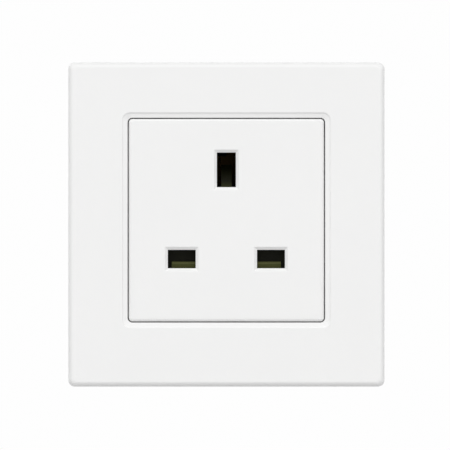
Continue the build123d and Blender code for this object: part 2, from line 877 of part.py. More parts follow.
nodes = {
    "cover_frame": make_cover_frame(),
    "face_plate": make_face_plate(),
    "mounting_strap": make_mounting_strap(),
    "base_housing": make_base_housing(),
    "housing_sides": make_housing_sides(),
    "housing_ends": make_housing_ends(),
    "housing_partitions": make_housing_partitions(),
    "housing_bosses": make_housing_bosses(),
    "housing_seats": make_housing_seats(),
    "contact_cover": make_contact_cover(),
    "safety_shutter": make_safety_shutter(),
    "shutter_spring": make_shutter_spring(),
    "line_contact": make_line_contact(),
    "neutral_contact": mirrored(make_line_contact()),
    "earth_contact": make_earth_contact(),
    "line_terminal": make_line_terminal(),
    "neutral_terminal": mirrored(make_line_terminal()),
    "earth_terminal": make_earth_terminal(),
    "line_terminal_screw": make_line_terminal_screw(),
    "neutral_terminal_screw": mirrored(make_line_terminal_screw()),
    "earth_terminal_screw": make_earth_terminal_screw(),
    "cover_screws": make_cover_screws(),
    "strap_screws": make_strap_screws(),
    "earth_link": make_earth_link(),
    "earth_link_rivets": make_earth_link_rivets(),
}

os.makedirs("parts", exist_ok=True)
for name, solid in nodes.items():
    export_step(solid, f"parts/{name}.step")
print(f"frame {frame_width:.2f} x {frame_height:.2f} mm, {frame_front:.2f} mm in front of the wall")
print(f"housing {housing_width:.2f} x {housing_height:.2f} mm, {-housing_back:.2f} mm deep")
print(f"shutter travel {shutter_travel:.2f} mm, terminal screw travel {screw_travel:.2f} mm")
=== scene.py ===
# %% [markdown]
# # A white wall socket
# A socket for plugs with three flat pins sits in a wall box behind a square cover frame.
# This lesson dresses its CAD model: first the studio, then the finishes, then the pieces that
# show: the frame, the insert with the three slots, the shutter behind the slots, its spring,
# and the steel strap and dark housing behind. Every length below is in millimetres times `mm`,
# because Blender counts in metres. X runs right, Z up, and the room is towards -Y. The word
# `out` stands for the distance from the wall towards the room, which is -Y.

import json
import math

import bmesh
import bpy
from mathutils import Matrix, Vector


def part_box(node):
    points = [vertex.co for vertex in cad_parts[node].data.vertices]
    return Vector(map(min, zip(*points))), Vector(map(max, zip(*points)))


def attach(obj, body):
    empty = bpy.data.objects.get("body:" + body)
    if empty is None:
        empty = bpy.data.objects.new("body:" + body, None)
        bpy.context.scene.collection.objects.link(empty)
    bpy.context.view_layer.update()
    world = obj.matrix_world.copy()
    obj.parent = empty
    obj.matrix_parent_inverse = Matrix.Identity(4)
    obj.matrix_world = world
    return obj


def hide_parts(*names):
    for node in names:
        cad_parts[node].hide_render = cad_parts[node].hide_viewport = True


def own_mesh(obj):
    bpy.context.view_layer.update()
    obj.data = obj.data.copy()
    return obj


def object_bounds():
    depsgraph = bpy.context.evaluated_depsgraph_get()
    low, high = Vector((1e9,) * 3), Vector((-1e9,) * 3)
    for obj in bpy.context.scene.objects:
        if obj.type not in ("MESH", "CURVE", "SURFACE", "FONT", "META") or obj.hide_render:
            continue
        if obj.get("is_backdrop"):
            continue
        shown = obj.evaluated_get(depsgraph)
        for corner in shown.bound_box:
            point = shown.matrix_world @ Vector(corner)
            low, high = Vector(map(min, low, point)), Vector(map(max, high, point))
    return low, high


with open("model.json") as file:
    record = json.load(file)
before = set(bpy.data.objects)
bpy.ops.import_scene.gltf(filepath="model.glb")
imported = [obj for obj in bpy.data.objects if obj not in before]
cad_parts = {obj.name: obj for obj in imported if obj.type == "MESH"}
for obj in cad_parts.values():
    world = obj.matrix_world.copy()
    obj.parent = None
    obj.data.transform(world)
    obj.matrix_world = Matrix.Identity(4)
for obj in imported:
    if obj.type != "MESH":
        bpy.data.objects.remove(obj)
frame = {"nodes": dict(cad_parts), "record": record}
cad_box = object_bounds()
mm = 0.001

# %% [markdown]
# The driving sizes are those of the CAD pieces, and the height of the lower pins and the places
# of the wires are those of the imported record's mounts. A piece's box is read as three pairs.


# %% Sizes and places from the frame
def span(node):
    """The lowest and highest x, out and z of a CAD piece in millimetres, as three pairs."""
    low, high = (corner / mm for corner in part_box(node))
    pairs = ((low.x, high.x), (-high.y, -low.y), (low.z, high.z))
    return [(round(first, 3), round(last, 3)) for first, last in pairs]


frame_x, frame_out, frame_z = span("cover_frame")
insert_x, insert_out, insert_z = span("face_plate")
shutter_x, shutter_out, shutter_z = span("safety_shutter")
housing_x, floor_out, housing_z = span("base_housing")
frame_front = frame_out[1]
insert_front = insert_out[1]
mounts = {mount["name"]: mount["pos_m"] for mount in frame["record"]["mounts"]}
line_z = mounts["plug_pins"][2] / mm
print("frame", frame_x, frame_out, frame_z, "insert", insert_x, insert_out, insert_z)
print("shutter", shutter_x, shutter_out, shutter_z, "line and neutral pins at z", round(line_z, 2))

# %% [markdown]
# ## The studio
# A product photo of a white thing on white needs soft light from nearly everywhere, or its
# edges vanish. The world gives an even glow, and one large soft sun from above the camera
# gives each edge its own tone: light on top, a little darker at the sides, darkest below.
# The camera stands straight in front with a long lens, as the flat look of such photos asks.
# A second weak sun keeps the rear readable when the object is turned.

# %% Camera
view_distance = 3000 * mm
view_width = 112.08 * mm
view_middle = (-0.34 * mm, -1.20 * mm)
face_distance = insert_front * mm
camera_data = bpy.data.cameras.new("studio_camera")
camera_data.sensor_width = 36
camera_data.lens = camera_data.sensor_width * (view_distance - face_distance) / view_width
camera_data.clip_end = 20
camera = bpy.data.objects.new("studio_camera", camera_data)
camera.location = (view_middle[0], -view_distance, view_middle[1])
camera.rotation_euler = (math.radians(90), 0, 0)
bpy.context.scene.collection.objects.link(camera)
bpy.context.scene.camera = camera
print(f"lens {camera_data.lens:.0f} mm at {view_distance:.2f} m")


# %% Suns
def add_sun(name, strength, azimuth, elevation, spread):
    """A soft sun. Azimuth 0 shines from the camera's side, elevation is above the horizon."""
    data = bpy.data.lights.new(name, "SUN")
    data.energy = strength
    data.angle = math.radians(spread)
    sun = bpy.data.objects.new(name, data)
    sun.rotation_euler = (math.radians(90 - elevation), 0, math.radians(azimuth))
    bpy.context.scene.collection.objects.link(sun)
    print(name, "is", spread, "degrees wide, at", elevation, "degrees above the horizon")


add_sun("main_sun", strength=1.32, azimuth=0, elevation=46, spread=30)
add_sun("rear_sun", strength=0.35, azimuth=190, elevation=12, spread=60)
bpy.context.scene.view_settings.view_transform = "Standard"

# %% [markdown]
# ## Shader maths
# A finish is easier to read as a sum than as a web of boxes. The class below wraps one socket
# and gives it the signs + - and *, so that an expression adds the Math nodes by itself.
# Every other node comes from its one method `node`: the type, the settings, then the inputs.


# %% One wire of a material
class Wire:
    """One output socket, with arithmetic."""

    def __init__(self, socket):
        self.socket = socket

    def node(self, kind, settings=None, inputs=None, out=0):
        made = self.socket.id_data.nodes.new(kind)
        for name, value in (settings or {}).items():
            setattr(made, name, value)
        for key, value in (inputs or {}).items():
            plug_in(made.inputs[key], value)
        return Wire(made.outputs[out])

    def maths(self, operation, first, second):
        return self.node("ShaderNodeMath", {"operation": operation}, {0: first, 1: second})

    def __add__(self, other):
        return self.maths("ADD", self, other)

    __radd__ = __add__

    def __sub__(self, other):
        return self.maths("SUBTRACT", self, other)

    def __rsub__(self, other):
        return self.maths("SUBTRACT", other, self)

    def __mul__(self, other):
        return self.maths("MULTIPLY", self, other)

    __rmul__ = __mul__

    def between(self, first, second):
        """The first colour where this wire is 0, and the second where it is 1."""
        first, second = (c if isinstance(c, Wire) else (*c, 1) for c in (first, second))
        return self.node("ShaderNodeMix", {"data_type": "RGBA"}, {0: self, 6: first, 7: second}, out=2)

    def stretched(self, x, y, z):
        """These coordinates, with so many pattern cells per metre along each axis."""
        return self.node("ShaderNodeMapping", None, {"Vector": self, "Scale": (x, y, z)})

    def side(self, axis):
        """One number of this place or direction: 0 for X, 1 for Y, 2 for Z."""
        return self.node("ShaderNodeSeparateXYZ", None, {0: self}, out=axis)

    def ramp(self, low, high):
        """0 up to the low value, 1 from the high value on, and even in between."""
        ends = {"Value": self, "From Min": low, "From Max": high}
        return self.node("ShaderNodeMapRange", {"clamp": True}, ends)

    def noise(self, scale=1.0, detail=2.0):
        """Cloudy noise from 0 to 1 on these coordinates."""
        inputs = {"Vector": self, "Scale": scale, "Detail": detail}
        return self.node("ShaderNodeTexNoise", None, inputs)


def plug_in(socket, value):
    """Links a wire to a socket, or sets the socket's own value."""
    if isinstance(value, Wire):
        socket.id_data.links.new(value.socket, socket)
    else:
        socket.default_value = value


# %% [markdown]
# ## The world and the floor
# The lens, glossy plastic and metal should all see plain white, while the glow that lights the
# object is a little weaker, so that white plastic keeps its own tone. Light Path tells the
# kinds of ray apart. The ceiling is a little dimmer than the walls, so that the frame's upper
# edge keeps a fine grey line. The floor is pale, catches the object's shadow, and sends less
# light back up than it shows, which keeps the lower edges apart from the backdrop.

# %% World
glow = 0.83
ceiling_loss = 0.50
ceiling_low = 0.3
ceiling_high = 1.0
world = bpy.data.worlds.new("studio_world")
world.use_nodes = True
bpy.context.scene.world = world
rays = Wire(world.node_tree.nodes.new("ShaderNodeLightPath").outputs["Is Camera Ray"])
path = rays.socket.node.outputs
unseen = (1 - rays) * (1 - Wire(path["Is Glossy Ray"])) * (1 - Wire(path["Is Transmission Ray"]))
sky = Wire(world.node_tree.nodes.new("ShaderNodeTexCoord").outputs["Generated"])
overhead = sky.side(2).ramp(ceiling_low, ceiling_high)
backdrop = world.node_tree.nodes["Background"]
backdrop.inputs["Color"].default_value = (0.99, 0.99, 0.99, 1)
plug_in(backdrop.inputs["Strength"], 1 - unseen * (1 - glow + overhead * ceiling_loss))
print("the object is lit by", glow, "at the walls and", round(glow - ceiling_loss, 2), "overhead")

# %% Floor
floor_radius = 450 * mm
floor_middle = (0, 0, -75 * mm)
lit_tone = (0.76, 0.76, 0.76)
shown_tone = (0.93, 0.93, 0.93)
bpy.ops.object.select_all(action="DESELECT")
bpy.ops.mesh.primitive_circle_add(vertices=96, radius=floor_radius, fill_type="NGON", location=floor_middle)
floor = bpy.context.object
floor.name = "floor"
floor_finish = bpy.data.materials.new("floor_finish")
floor_finish.use_nodes = True
floor_shader = floor_finish.node_tree.nodes["Principled BSDF"]
seen = Wire(floor_finish.node_tree.nodes.new("ShaderNodeLightPath").outputs["Is Camera Ray"])
plug_in(floor_shader.inputs["Base Color"], seen.between(lit_tone, shown_tone))
floor_shader.inputs["Roughness"].default_value = 0.9
floor_shader.inputs["Specular IOR Level"].default_value = 0.1
floor.data.materials.append(floor_finish)
floor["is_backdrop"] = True
print("floor", -round(floor_middle[2] / mm), "mm below the middle of the insert")


# %% [markdown]
# ## Finishes
# All patterns run on Object coordinates: every piece sits at the origin, so they are metres,
# and a scale of 1000 means one pattern cell per millimetre.


# %% Start of a finish
def new_finish(name):
    """A material with its shader, and a wire that carries the place on the surface."""
    material = bpy.data.materials.new(name)
    material.use_nodes = True
    tree = material.node_tree
    shader = tree.nodes["Principled BSDF"]
    return material, shader, Wire(tree.nodes.new("ShaderNodeTexCoord").outputs["Object"])


def finish_with(shader, **inputs):
    """Sets or links the shader's sockets, named with _ for a space."""
    for name, value in inputs.items():
        plug_in(shader.inputs[name.replace("_", " ")], value)
    print("a finish of", len(shader.id_data.nodes), "nodes")


def relief(height, depth):
    """The surface normal of a relief that is so many metres deep where the height goes from 0 to 1."""
    return height.node("ShaderNodeBump", None, {"Height": height, "Distance": depth})


finishes = {}

# %% [markdown]
# ### White thermoplastic
# The frame and insert are moulded in the same white plastic with a satin gloss. The tool's
# surface leaves a fine grain, and the plastic cools unevenly, which shows as a very faint
# cloudiness in tone and gloss. Two noises of different size are enough: a coarse one for the
# clouds, and a fine one for the grain in gloss and relief.

# %% White thermoplastic
material, shader, place = new_finish("white_plastic")
clouds = place.noise(55, 3)
grain = place.noise(5200, 2)
finish_with(
    shader,
    Base_Color=clouds.between((0.872, 0.873, 0.870), (0.892, 0.892, 0.888)),
    Roughness=0.46 + clouds * 0.06 + grain * 0.04,
    Specular_IOR_Level=0.16,
    Normal=relief(grain, 0.004 * mm),
    IOR=1.49,
)
finishes["white_plastic"] = material

# %% [markdown]
# ### Dark housing plastic
# The housing and the contact cover are a heat-proof moulding filled with short glass fibre.
# The fibres show as fine grey streaks, mostly along the flow, and the surface is dull.

# %% Dark housing plastic
material, shader, place = new_finish("housing_plastic")
fibres = place.stretched(2600, 700, 600).noise(1, 3)
clouds = place.noise(120, 2)
speckle = place.noise(3800, 2)
finish_with(
    shader,
    Base_Color=(fibres * 0.7 + clouds * 0.3).between((0.020, 0.021, 0.022), (0.062, 0.063, 0.064)),
    Roughness=0.42 + fibres * 0.14 + clouds * 0.08,
    Normal=relief(fibres + speckle, 0.010 * mm),
)
finishes["housing_plastic"] = material

# %% [markdown]
# ### Olive shutter plastic
# Through the slots, the shutter looks olive: a slippery engineering plastic without much gloss.
# Sliding polishes it in upright streaks, so the gloss varies along stretched noise. The tone is painted
# shade by depth: it follows the distance from the wall, light on the pads' fronts and near black on the
# deeper plate, and it is weaker on the ramp. A pale line along the upper edge of each pad is a painted
# highlight, where the round edge meets the light from above.
# The coordinates are metres, so they are turned into millimetres first.

# %% Olive shutter plastic
plate_front = 3.8
pad_front = shutter_out[1]
pad_top = line_z - 0.6
material, shader, place = new_finish("shutter_plastic")
streaks = place.stretched(2400, 2400, 180).noise(1, 2)
clouds = place.noise(300, 2)
out = place.side(1) * (-1 / mm)
height = place.side(2) * (1 / mm)
on_ramp = height.ramp(2, 6)
# painted shade: the tone darkens towards the wall, to near black on the deep plate, and stays darker on the
# ramp
painted_shade_by_depth = (out + clouds * 0.4).ramp(plate_front + 0.3, pad_front + 0.2) * (1 - on_ramp * 0.4)
below_edge = height.ramp(pad_top - 0.8, pad_top - 0.4)
above_edge = height.ramp(pad_top + 0.2, pad_top + 0.4)
# painted highlight: a pale line along the round upper edge of each pad
painted_edge_highlight = below_edge * (1 - above_edge) * out.ramp(plate_front + 0.4, plate_front + 0.7)
tone_with_painted_shade = (painted_shade_by_depth * 0.9 + clouds * 0.1).between((0.0045, 0.0046, 0.0012), (0.052, 0.056, 0.014))
finish_with(
    shader,
    Base_Color=(painted_edge_highlight * (0.5 + streaks * 0.5)).between(tone_with_painted_shade, (0.090, 0.093, 0.034)),
    Roughness=0.42 + streaks * 0.16,
    Specular_IOR_Level=0.12,
    Normal=relief(streaks, 0.005 * mm),
)
finishes["shutter_plastic"] = material

# %% [markdown]
# ### Zinc-plated sheet steel
# The strap is stamped from rolled sheet and zinc plated. Rolling leaves fine lines along X,
# the plating has a cloudy grey bloom, and both change the gloss more than the colour.

# %% Zinc-plated sheet steel
material, shader, place = new_finish("zinc_steel")
rolling = place.stretched(160, 5200, 5200).noise(1, 3)
bloom = place.noise(170, 4)
finish_with(
    shader,
    Base_Color=(bloom * 0.75 + rolling * 0.25).between((0.30, 0.315, 0.335), (0.60, 0.615, 0.63)),
    Metallic=1.0,
    Roughness=0.28 + bloom * 0.20 + rolling * 0.12,
    Normal=relief(rolling, 0.006 * mm),
)
finishes["zinc_steel"] = material

# %% [markdown]
# ### Brass
# The terminals are bare brass. Where fingers and air have been at it, it turns browner and
# duller in soft patches, and the mill leaves fine lines.

# %% Brass
material, shader, place = new_finish("brass")
tarnish = place.noise(210, 4)
lines = place.stretched(4200, 4200, 260).noise(1, 2)
finish_with(
    shader,
    Base_Color=(tarnish * 1.5 - 0.25).between((0.83, 0.62, 0.29), (0.56, 0.36, 0.15)),
    Metallic=1.0,
    Roughness=0.22 + tarnish * 0.20 + lines * 0.08,
    Normal=relief(lines, 0.005 * mm),
)
finishes["brass"] = material

# %% [markdown]
# The contacts are a dull, dark brown brass. The dark tone is painted shade for their place deep in the
# slots, and stretched noise adds brighter streaks along the leaves.

# %% Dark brass of the contacts, with painted shade
material, shader, place = new_finish("contact_brass")
brown_patches = place.noise(260, 4)
wipes = place.stretched(3600, 420, 3600).noise(1, 2)
finish_with(
    shader,
    # painted shade: the whole contact is darkened to the tone of the deep slots
    Base_Color=(brown_patches * 0.7 + wipes * 0.3).between((0.10, 0.062, 0.026), (0.30, 0.20, 0.085)),
    Metallic=1.0,
    Roughness=0.56 + brown_patches * 0.16,
    Normal=relief(wipes, 0.006 * mm),
)
finishes["contact_brass"] = material

# %% [markdown]
# ### Screws
# The screws are passivated a pale yellow over zinc, a tint that drifts towards green and pink.
# Turning leaves rings, which are too fine to see here, so noise in the gloss stands for them.

# %% Screw steel
material, shader, place = new_finish("screw_steel")
drift = place.noise(420, 3)
marks = place.noise(6500, 2)
finish_with(
    shader,
    Base_Color=drift.between((0.66, 0.63, 0.43), (0.80, 0.74, 0.62)),
    Metallic=1.0,
    Roughness=0.24 + drift * 0.10 + marks * 0.14,
    Normal=relief(marks, 0.005 * mm),
)
finishes["screw_steel"] = material

# %% [markdown]
# ### Spring wire
# Hard-drawn wire is grey and fairly bright, with fine lines from the drawing die.

# %% Spring wire
material, shader, place = new_finish("spring_steel")
lines = place.stretched(7000, 7000, 900).noise(1, 2)
tone = place.noise(500, 2)
finish_with(
    shader,
    Base_Color=tone.between((0.36, 0.36, 0.37), (0.52, 0.52, 0.53)),
    Metallic=1.0,
    Roughness=0.24 + lines * 0.16,
    Normal=relief(lines, 0.004 * mm),
)
finishes["spring_steel"] = material
print("finishes:", sorted(finishes))

# %% [markdown]
# ## Dress the CAD pieces
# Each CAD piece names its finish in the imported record. Pieces whose shape is right, such as
# the brass and the small screws, keep that shape and only get the finish.

# %% Finish of every CAD piece
slots = {part["node"]: part["material_slot"] for part in frame["record"]["subparts"]}
for name, piece in frame["nodes"].items():
    piece.data.materials.clear()
    finish = "contact_brass" if name.endswith("_contact") else slots[name]
    piece.data.materials.append(finishes[finish])
print("dressed", len(slots), "CAD pieces")

# %% [markdown]
# ## Modelling helpers
# New pieces are modelled in edit mode with Blender's own operators. `start` opens a mesh at
# the origin, `pick` selects by place, and `done` closes the piece: it rounds what edges are
# still sharp by a hair, because no moulded or stamped edge is truly sharp, and keeps the flat
# faces flat in the shading. That rounding isn't clamped, because a clamp would shrink it on the
# whole piece to suit its shortest edge.


# %% Places in millimetres
touching = 0.005


def around(middle, width):
    """The pair of places that lie half a width to each side of a middle."""
    return middle - width / 2, middle + width / 2


def inside(value, limits):
    """Whether a coordinate in millimetres is at a place or between two places."""
    if limits is None:
        return True
    low, high = limits if isinstance(limits, tuple) else (limits, limits)
    return low - touching <= value <= high + touching


# %% Open a piece and pick in it
def start(name, mesh=None):
    """Opens a new piece in edit mode, on the given mesh or on an empty one."""
    bpy.ops.object.select_all(action="DESELECT")
    piece = bpy.data.objects.new(name, mesh or bpy.data.meshes.new(name))
    bpy.context.scene.collection.objects.link(piece)
    bpy.context.view_layer.objects.active = piece
    piece.select_set(True)
    bpy.ops.object.mode_set(mode="EDIT")
    return piece


def pick(kind, x=None, out=None, z=None, both=False, more=False):
    """Selects faces or edges that lie whole within the limits. With both, x and z lose their sign."""
    if not more:
        bpy.ops.mesh.select_mode(type=kind)
        bpy.ops.mesh.select_all(action="DESELECT")
    mesh = bmesh.from_edit_mesh(bpy.context.edit_object.data)
    found = []
    for item in mesh.faces if kind == "FACE" else mesh.edges:
        places = [corner.co / mm for corner in item.verts]
        if both:
            places = [type(p)((abs(p.x), p.y, abs(p.z))) for p in places]
        if all(inside(p.x, x) and inside(-p.y, out) and inside(p.z, z) for p in places):
            found.append(item)
    for item in found:
        item.select_set(True)
    bmesh.update_edit_mesh(bpy.context.edit_object.data)
    return len(found)


# %% Blocks, bars and cuts
lying = (math.radians(90), 0, 0)


def add_block(x, out, z):
    """Adds a block between the given pairs of places."""
    middle = [sum(pair) / 2 * mm for pair in (x, out, z)]
    size = [(pair[1] - pair[0]) * mm for pair in (x, out, z)]
    bpy.ops.mesh.primitive_cube_add(size=1, location=(middle[0], -middle[1], middle[2]), scale=size)


def add_bar(x, out, z, radius):
    """Adds a round bar that runs between a pair of distances from the wall."""
    bpy.ops.mesh.primitive_cylinder_add(
        vertices=48,
        radius=radius * mm,
        depth=(out[1] - out[0]) * mm,
        location=(x * mm, -sum(out) / 2 * mm, z * mm),
        rotation=lying,
    )


def cut(x=(), z=(), out=None):
    """Scores lines across the faces at a distance from the wall, or across the whole mesh."""
    upright = [((place * mm, 0, 0), (1, 0, 0)) for place in x]
    level = [((0, 0, place * mm), (0, 0, 1)) for place in z]
    for place, normal in upright + level:
        pick("FACE", out=out)
        bpy.ops.mesh.bisect(plane_co=place, plane_no=normal)


# %% Moves and copies
def push(out=0.0, z=0.0):
    """Extrudes the picked faces by so many millimetres."""
    move = {"value": (0, -out * mm, z * mm)}
    bpy.ops.mesh.extrude_region_move(TRANSFORM_OT_translate=move)


def shift(x=0.0, out=0.0, z=0.0):
    """Moves what is picked by so many millimetres."""
    bpy.ops.transform.translate(value=(x * mm, -out * mm, z * mm))


def turned_over(x=1, z=1):
    """Copies the picked faces to the other side of the middle. Their normals are put right at the end."""
    bpy.ops.mesh.duplicate()
    bpy.ops.transform.resize(value=(x, 1, z), center_override=(0, 0, 0))


def to_all_corners(x, out, z):
    """Copies the form in these limits to the left, then both to the far end, and counts the faces."""
    pick("FACE", x=x, out=out, z=z)
    turned_over(x=-1)
    pair = pick("FACE", x=x, out=out, z=z, both=True)
    turned_over(z=-1)
    return 2 * pair


# %% Closing step of a piece
def done(piece, body, slot, edge, angle=32):
    """Closes a piece: outward normals, softened edges, smooth shading, body and finish."""
    bpy.ops.mesh.select_all(action="SELECT")
    bpy.ops.mesh.normals_make_consistent(inside=False)
    bpy.ops.object.mode_set(mode="OBJECT")
    bevel = piece.modifiers.new("soft_edges", "BEVEL")
    bevel.width = edge * mm
    bevel.segments = 2
    bevel.limit_method = "ANGLE"
    bevel.angle_limit = math.radians(angle)
    bevel.use_clamp_overlap = False
    bpy.ops.object.modifier_apply(modifier=bevel.name)
    bpy.ops.object.shade_smooth_by_angle(angle=math.radians(angle))
    weights = piece.modifiers.new("flat_faces", "WEIGHTED_NORMAL")
    weights.keep_sharp = True
    bpy.ops.object.modifier_apply(modifier=weights.name)
    piece.data.materials.append(finishes[slot])
    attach(piece, body)
    print(piece.name, len(piece.data.polygons), "faces")


# %% [markdown]
# ## The cover frame
# The real frame is one thin moulding: a drafted outer wall with a rounded front edge, a flat
# face, and a small bevel that leads the eye down to the insert. It could be cut from a block,
# but its whole section simply runs round the opening. So the section is written as a chain of
# round-cornered outlines, from the hollow rear round the front to the ring inside, and
# neighbouring outlines are bridged. Where two of them lie in one plane behind the face, the
# strip between them is filled instead, because a bridge could pair their corners crosswise.
# The fill leaves thin triangles, which are joined into flat faces before the edges are softened.

# %% Outlines with round corners
corner_steps = 10
ring_count = 4 * (corner_steps + 1)
flat_angle = math.radians(0.5)


def add_outline(sides, grow, radius, out):
    """Adds a wire rectangle with round corners, so much larger on every side than the x and z sides."""
    (left, right), (low, high) = sides
    place = ((left + right) / 2 * mm, -out * mm, (low + high) / 2 * mm)
    size = ((right - left + 2 * grow) * mm, 1, (high - low + 2 * grow) * mm)
    bpy.ops.mesh.primitive_plane_add(size=1, location=place, rotation=lying)
    bpy.ops.transform.resize(value=size, center_override=place)
    bpy.ops.mesh.bevel(offset=radius * mm, segments=corner_steps, affect="VERTICES")
    bpy.ops.mesh.delete(type="ONLY_FACE")


def pick_outlines(*numbers):
    """Selects outlines by their number, in the order in which they were added."""
    bpy.ops.mesh.select_mode(type="VERT")
    bpy.ops.mesh.select_all(action="DESELECT")
    mesh = bmesh.from_edit_mesh(bpy.context.edit_object.data)
    mesh.verts.ensure_lookup_table()
    for number in numbers:
        for place in range(ring_count):
            mesh.verts[number * ring_count + place].select_set(True)
    mesh.select_flush(True)
    bmesh.update_edit_mesh(bpy.context.edit_object.data)
    bpy.ops.mesh.select_mode(type="EDGE")


def join_outlines(count, filled, closed=False):
    """Bridges each outline to the next one, or fills the strip after it if its number is in filled."""
    for number in range(count if closed else count - 1):
        pick_outlines(number, (number + 1) % count)
        if number in filled:
            bpy.ops.mesh.fill()
        else:
            bpy.ops.mesh.bridge_edge_loops()


# %% Sizes of the cover frame
frame_wall = 2.4
frame_skin = 2.1
frame_corner = 1.7
small_corner = 0.4
front_round = 1.25
draft_angle = 3
draft = frame_front * math.tan(math.radians(draft_angle))
hollow_front = frame_front - frame_skin
print("the outer wall leans in by", round(draft, 2), "mm")

# %% Sizes of the frame's opening
insert_gap = 0.25
insert_corner = 0.95
gap_corner = insert_corner + insert_gap
bevel_width = 1.35
bevel_reach = insert_gap + bevel_width
bevel_depth = 0.6
bevel_corner = 1.9
lip_width = 0.25
lip_depth = 0.35
skirt_back = 3.8
ledge_width = 1.6
ledge_sheet = 1.4
ledge_reach = ledge_width - insert_gap
ledge_back = skirt_back - ledge_sheet
ring_wall = 1.6
ring_reach = insert_gap + ring_wall
ring_corner = gap_corner + ring_wall
print("opening", [round(2 * (side[1] + insert_gap), 2) for side in (insert_x, insert_z)], "mm")

# %% Skin of the cover frame
outer = (frame_x, frame_z)
opening = (insert_x, insert_z)
cover = start("frame_moulding")
add_outline(outer, -frame_wall, small_corner, hollow_front)
add_outline(outer, -frame_wall, small_corner, 0)
add_outline(outer, 0, frame_corner, 0)
add_outline(outer, -draft, frame_corner - draft, frame_front)
add_outline(opening, bevel_reach, bevel_corner, frame_front)
add_outline(opening, bevel_reach - lip_width, bevel_corner - lip_width, frame_front - lip_depth)
add_outline(opening, insert_gap, gap_corner, frame_front - bevel_depth)
add_outline(opening, insert_gap, gap_corner, skirt_back)
add_outline(opening, -ledge_reach, small_corner, skirt_back)
add_outline(opening, -ledge_reach, small_corner, ledge_back)
add_outline(opening, ring_reach, ring_corner, ledge_back)
add_outline(opening, ring_reach, ring_corner, hollow_front)
front_edge = 3
flat_strips = (1, 7, 9, 11)
join_outlines(12, flat_strips, closed=True)
pick_outlines(front_edge)
bpy.ops.mesh.bevel(offset=front_round * mm, segments=8, affect="EDGES", profile=0.5)
bpy.ops.mesh.select_all(action="SELECT")
bpy.ops.mesh.dissolve_limited(angle_limit=flat_angle)
print("cover frame:", len(bmesh.from_edit_mesh(cover.data).faces), "faces of the skin")

# %% [markdown]
# Behind its face the frame has stiffening ribs, and small feet under the ledge that stand on
# the strap. A rib is a block with a long slope at its free edge. Each kind is modelled once,
# on the right or at an end, and copied to the other side of the middle. Ribs and feet are
# rooted a little way in their neighbours, so that no gap can show, and `root` is how far.

# %% Ribs of the cover frame
root = 0.2
rib_sheet = 1.0
rib_step = 0.6
rib_slope = 1.6
rib_middle = 16
rib_place = around(rib_middle, rib_sheet)
rib_out = (ledge_back + rib_step, hollow_front + root)
ring_side = insert_x[1] + ring_reach - root
ring_end = insert_z[1] + ring_reach - root
rib_x = (ring_side, frame_x[1] - frame_wall + root)
add_block(rib_x, rib_out, rib_place)
pick("EDGE", x=ring_side, out=rib_out[0], z=rib_place)
shift(x=rib_slope)
print("side ribs:", to_all_corners(rib_x, rib_out, rib_place), "faces")
top_rib = (ring_end, frame_z[1] - frame_wall + root)
bottom_rib = (frame_z[0] + frame_wall - root, -ring_end)
for rib_z, tip in ((top_rib, ring_end), (bottom_rib, -ring_end)):
    add_block(rib_place, rib_out, rib_z)
    pick("EDGE", x=rib_place, out=rib_out[0], z=tip)
    shift(z=math.copysign(rib_slope, tip))
    pick("FACE", x=rib_place, out=rib_out, z=rib_z)
    turned_over(x=-1)

# %% Feet of the cover frame
foot_length = 6
foot_height = 1.2
foot_inset = 0.1
foot_middle = 14
foot_place = around(foot_middle, foot_length)
foot_out = (ledge_back - foot_height, ledge_back + root)
foot_x = (insert_x[1] - ledge_reach + foot_inset, insert_x[1] + ring_reach - foot_inset)
foot_z = (insert_z[1] - ledge_reach + foot_inset, insert_z[1] + ring_reach - foot_inset)
for x, z in ((foot_x, foot_place), (foot_place, foot_z)):
    add_block(x, foot_out, z)
    print("feet:", to_all_corners(x, foot_out, z), "faces")
done(cover, "socket", "white_plastic", edge=0.07)
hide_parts("cover_frame")

# %% [markdown]
# ## The insert
# The insert is a shallow tray, open at the rear, with three pin slots. Each slot has a mitred
# chamfer at its mouth that guides the pin. A boolean would cut them in one go, but scoring the
# face, insetting each mouth and bridging it to the rear keeps clean faces that bevel well.

# %% Tray of the insert
insert_wall = 1.6
insert_skin = 2.4
insert_round = 0.5
tray_floor = insert_front - insert_skin
insert = start("insert_plate")
add_block(insert_x, (skirt_back, insert_front), insert_z)
pick("EDGE", x=insert_x[1], z=insert_z[1], both=True)
bpy.ops.mesh.bevel(offset=insert_corner * mm, segments=corner_steps, affect="EDGES")
pick("EDGE", out=insert_front)
bpy.ops.mesh.bevel(offset=insert_round * mm, segments=6, affect="EDGES")
pick("FACE", out=skirt_back)
bpy.ops.mesh.inset(thickness=insert_wall * mm)
push(out=tray_floor - skirt_back)
print("insert: tray with", len(bmesh.from_edit_mesh(insert.data).faces), "faces")

# %% [markdown]
# The standard fixes the places of the pins: line and neutral are 22.23 mm apart, and the earth
# pin is as far above the line between them.

# %% Slots of the insert
pin_pitch = 22.23
pin_side = pin_pitch / 2
earth_z = line_z + pin_pitch
line_slot = (6.93, 4.58)
earth_slot = (4.70, 8.62)
lower_slots = [(-pin_side, line_z, *line_slot), (pin_side, line_z, *line_slot)]
pin_slots = lower_slots + [(0, earth_z, *earth_slot)]
chamfer = 0.75
for x, z, width, height in pin_slots:
    for out, edge in ((insert_front, chamfer), (tray_floor, 0)):
        across = around(x, width + 2 * edge)
        upward = around(z, height + 2 * edge)
        cut(x=across, z=upward, out=out)
        pick("FACE", x=across, out=out, z=upward)
        bpy.ops.mesh.dissolve_faces()
for x, z, width, height in pin_slots:
    across = around(x, width)
    upward = around(z, height)
    pick("FACE", x=around(x, width + 2 * chamfer), out=insert_front, z=around(z, height + 2 * chamfer))
    bpy.ops.mesh.inset(thickness=chamfer * mm, depth=-chamfer * mm)
    ends = pick("FACE", x=across, out=insert_front - chamfer, z=upward)
    ends += pick("FACE", x=across, out=tray_floor, z=upward, more=True)
    bpy.ops.mesh.bridge_edge_loops()
    print("slot at", round(x, 2), round(z, 2), "joins", ends, "ends")

